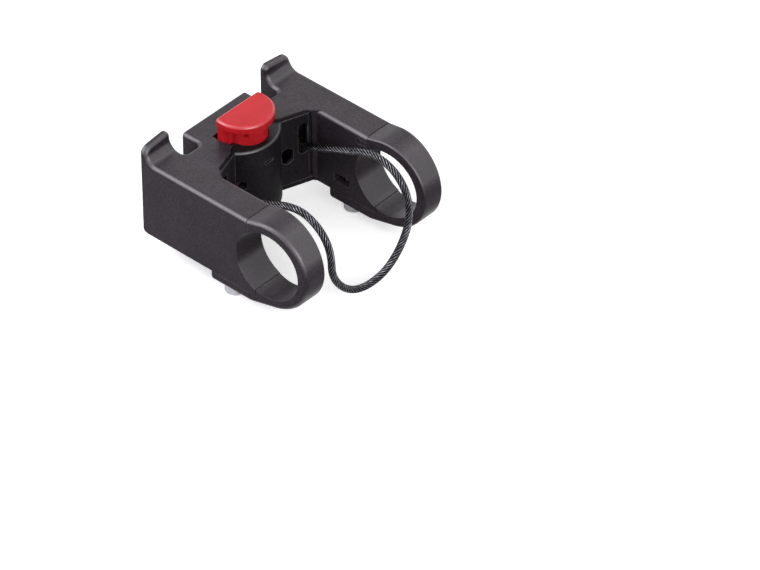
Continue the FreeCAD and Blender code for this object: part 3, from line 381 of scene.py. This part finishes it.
moulding = {
    "cloud": 0.012,
    "speckleWidth": 0.0010,
    "speckleSpan": (0.35, 0.65),   # part of the noise that makes dark and light specks
    "scuffWidth": 0.004,
    "scuffsAndHighlight": (0.1, 0.75),   # least and most of the lighter edge tone along an edge, partly wear and partly painted highlight
    "grain": 0.0006,
    "grainStrength": 0.7,
    "frame": {
        "base": (0.028, 0.022, 0.0275),
        "dark": (0.0203, 0.016, 0.0203),
        # lighter tone along the edges: partly wear, partly a painted highlight on the rounds
        "wearAndHighlight": (0.13, 0.125, 0.14),
        "specular": 0.11,
        "roughness": 0.42,
        "skin": 0.92,
        "skinRoughness": 0.48,
        "speckle": 0.30,
        "depth": 0.00008,
        "softEdge": 0.0008,
    },
    "housing": {
        "base": (0.012, 0.010, 0.012),
        "dark": (0.008, 0.007, 0.008),
        # lighter tone along the edges: partly wear, partly a painted highlight on the rounds
        "wearAndHighlight": (0.22, 0.21, 0.23),
        "specular": 0.07,
        "roughness": 0.40,
        "skin": 0.87,
        "skinRoughness": 0.45,
        "speckle": 0.40,
        "depth": 0.00006,
        "softEdge": 0.0005,
    },
}


def mouldedBlack(name, finish):
    material, tree, shader = newMaterial(name)
    cloudy = spreadOver(tree, noiseAt(tree, moulding["cloud"], detail=3.0), 0.0, 1.0)
    grained = addNode(tree, "ShaderNodeVectorMath", operation="SCALE")
    feed(tree, grained, 0, mixColours(tree, cloudy, finish["base"], finish["dark"]))
    specks = noiseAt(tree, moulding["speckleWidth"], roughness=0.7)
    darkest, lightest = (1 + finish["speckle"] * way for way in (-1, 1))
    feed(tree, grained, "Scale", spreadOver(tree, specks, darkest, lightest, *moulding["speckleSpan"]))
    # the edges are lightened: partly wear, partly a painted highlight
    scuffsAndHighlight = noiseAt(tree, moulding["scuffWidth"], detail=4.0, roughness=0.7)
    wearAndHighlight = reckon(tree, "MULTIPLY", wearAndHighlightShare(tree), spreadOver(tree, scuffsAndHighlight, *moulding["scuffsAndHighlight"]))
    feed(tree, shader, "Base Color", mixColours(tree, wearAndHighlight, grained.outputs["Vector"], finish["wearAndHighlight"]))
    handledSkin(tree, shader, finish)
    grain = noiseAt(tree, moulding["grain"], roughness=0.6)
    bumpFrom(tree, shader, grain, finish["depth"], moulding["grainStrength"], finish["softEdge"])
    return material


buttonFinish = {
    "base": (0.49, 0.0145, 0.0215),
    "deep": (0.42, 0.009, 0.015),
    "cloud": 0.007,
    "specular": 0.10,
    "roughness": 0.40,
    "skin": 0.95,
    "skinRoughness": 0.38,
    "glow": 0.06,            # light that goes into the red plastic and comes out again
    "glowReach": (0.002, 0.0006, 0.0004),
    "grain": 0.0008,
    "grainStrength": 0.6,
    "depth": 0.00006,
}


def buttonRed():
    material, tree, shader = newMaterial("button red")
    cloudy = spreadOver(tree, noiseAt(tree, buttonFinish["cloud"], detail=3.0), 0.0, 1.0)
    feed(tree, shader, "Base Color", mixColours(tree, cloudy, buttonFinish["base"], buttonFinish["deep"]))
    handledSkin(tree, shader, buttonFinish)
    shader.inputs["Subsurface Weight"].default_value = buttonFinish["glow"]
    shader.inputs["Subsurface Radius"].default_value = buttonFinish["glowReach"]
    shader.inputs["Subsurface Scale"].default_value = 1.0
    grain = noiseAt(tree, buttonFinish["grain"], detail=3.0, roughness=0.6)
    bumpFrom(tree, shader, grain, buttonFinish["depth"], buttonFinish["grainStrength"])
    return material


# Metals: light tone, dark tone, least and most roughness, and how wide the spots are
metals = {
    "rope steel": ((0.022, 0.021, 0.024), (0.010, 0.009, 0.011), (0.24, 0.32), 0.0012),
    # lighter wires that paint glints along the rope's strands
    "bright wire": ((0.34, 0.34, 0.37), (0.07, 0.07, 0.075), (0.28, 0.38), 0.0022),
    "spring wire": ((0.60, 0.60, 0.61), (0.42, 0.42, 0.43), (0.22, 0.34), 0.002),
    "zinc plate": ((0.66, 0.66, 0.68), (0.50, 0.50, 0.54), (0.28, 0.42), 0.0015),
    # brass kept far darker than its own tone: painted shade inside the port
    "shade-darkened brass": ((0.14, 0.115, 0.07), (0.09, 0.07, 0.04), (0.25, 0.38), 0.0015),
    "sleeve aluminium": ((0.76, 0.76, 0.77), (0.58, 0.58, 0.60), (0.30, 0.46), 0.001),
}
scratches = {
    "depth": 0.00001,
    "strength": 0.5,
    "share": 1 / 3,          # how wide they are beside the spots
}


def metalFinish(name):
    light, dark, roughness, spots = metals[name]
    material, tree, shader = newMaterial(name)
    share = spreadOver(tree, noiseAt(tree, spots, detail=3.0), 0.0, 1.0)
    feed(tree, shader, "Base Color", mixColours(tree, share, light, dark))
    feed(tree, shader, "Roughness", spreadOver(tree, noiseAt(tree, spots * 2, detail=3.0), *roughness))
    shader.inputs["Metallic"].default_value = 1.0
    fine = noiseAt(tree, spots * scratches["share"])
    bumpFrom(tree, shader, fine, scratches["depth"], scratches["strength"])
    return material


def dress(piece, *materials):
    # the faces keep the numbers of their materials
    numbers = [face.material_index for face in piece.data.polygons] if len(materials) > 1 else []
    piece.data.materials.clear()
    for material in materials:
        piece.data.materials.append(material)
    if numbers:
        piece.data.polygons.foreach_set("material_index", numbers)


frameBlack = mouldedBlack("frame black", moulding["frame"])
housingBlack = mouldedBlack("housing black", moulding["housing"])
metalOf = {name: metalFinish(name) for name in metals}
dress(safetyRope, metalOf["rope steel"], metalOf["bright wire"])
dress(nodes["adapter_frame"], frameBlack)
dress(nodes["latch_housing"], housingBlack)
dress(nodes["bottom_cover"], housingBlack)
dress(nodes["release_button"], buttonRed())
dress(pressSpring, metalOf["spring wire"])
dress(nodes["cover_screws"], metalOf["zinc plate"])
for side in ("left", "right"):
    dress(nodes["clamp_cap_" + side], frameBlack)
    for part in ("clamp_screw_", "clamp_washer_", "clamp_nut_", "barrel_screw_"):
        dress(nodes[part + side], metalOf["zinc plate"])
    # the barrel's brass is darkened: painted shade inside the port
    dress(nodes["cable_barrel_" + side], metalOf["shade-darkened brass"])
    dress(nodes["cable_ferrule_" + side], metalOf["sleeve aluminium"])
print("materials set")


# Floor, light and background
studio = {
    "floorSeen": 0.85,       # how white the floor is to the camera and in mirrors
    "floorGlow": 0.48,       # lifts what the camera sees of the floor to white
    "floorBounce": 0.20,     # how much light it throws back on the object
    "floorRoughness": 0.9,
    "floorHalf": 6.0,
    "floorDrop": 0.0005,
    "world": 0.06,           # how much the surroundings light the object
    "aim": (0, 0.02, 0),
    "lamps": {
        "topPanel": {"place": (-0.10, -0.15, 0.95), "size": (0.8, 0.7), "power": 1.3},
        "edgeStrip": {"place": (-0.66, 0.57, 0.67), "size": (0.50, 1.0), "power": 12.0},
        "rearPanel": {"place": (-0.30, -0.80, 0.45), "size": (0.6, 0.5), "power": 8.0},
        "farPanel": {"place": (0.74, 0.67, 0.83), "size": (0.9, 0.9), "power": 7.4},
    },
    "tints": {"edgeStrip": (0.955, 0.935, 1.0)},     # the other lamps are white
}


def seenShare(tree):
    # 1 for what the camera sees, also mirrored or through something clear
    rays = addNode(tree, "ShaderNodeLightPath")
    seen = rays.outputs["Is Camera Ray"]
    for kind in ("Is Glossy Ray", "Is Transmission Ray"):
        seen = reckon(tree, "MAXIMUM", seen, rays.outputs[kind])
    return seen


def makeFloor():
    low = cadBox[0].z - studio["floorDrop"]
    half = studio["floorHalf"]
    mesh = bpy.data.meshes.new("floor")
    corners = [(-half, -half, low), (half, -half, low), (half, half, low), (-half, half, low)]
    mesh.from_pydata(corners, [], [(0, 1, 2, 3)])
    floor = bpy.data.objects.new("floor", mesh)
    sceneNow.collection.objects.link(floor)
    material, tree, shader = newMaterial("floor")
    shade = spreadOver(tree, seenShare(tree), studio["floorBounce"], studio["floorSeen"], 0.0, 1.0)
    feed(tree, shader, "Base Color", shade)
    shader.inputs["Roughness"].default_value = studio["floorRoughness"]
    shader.inputs["Specular IOR Level"].default_value = 0.0
    shader.inputs["Emission Color"].default_value = (1, 1, 1, 1)
    rays = addNode(tree, "ShaderNodeLightPath")
    glow = spreadOver(tree, rays.outputs["Is Camera Ray"], 0.0, studio["floorGlow"], 0.0, 1.0)
    feed(tree, shader, "Emission Strength", glow)
    mesh.materials.append(material)


def makeWorld():
    world = bpy.data.worlds.new("studio")
    sceneNow.world = world
    world.use_nodes = True
    tree = world.node_tree
    background = tree.nodes["Background"]
    feed(tree, background, "Strength", spreadOver(tree, seenShare(tree), studio["world"], 1.0, 0.0, 1.0))
    background.inputs["Color"].default_value = (1, 1, 1, 1)


def makeLamps():
    for name, lamp in studio["lamps"].items():
        light = bpy.data.lights.new(name, "AREA")
        light.shape = "RECTANGLE"
        light.size, light.size_y = lamp["size"]
        light.energy = lamp["power"]
        light.color = studio["tints"].get(name, (1, 1, 1))
        holder = bpy.data.objects.new(name, light)
        sceneNow.collection.objects.link(holder)
        holder.location = lamp["place"]
        aim = Vector(studio["aim"]) - Vector(lamp["place"])
        holder.rotation_euler = aim.to_track_quat("-Z", "Y").to_euler()


makeFloor()
makeWorld()
makeLamps()
sceneNow.view_settings.view_transform = "Standard"
print("floor and light set")
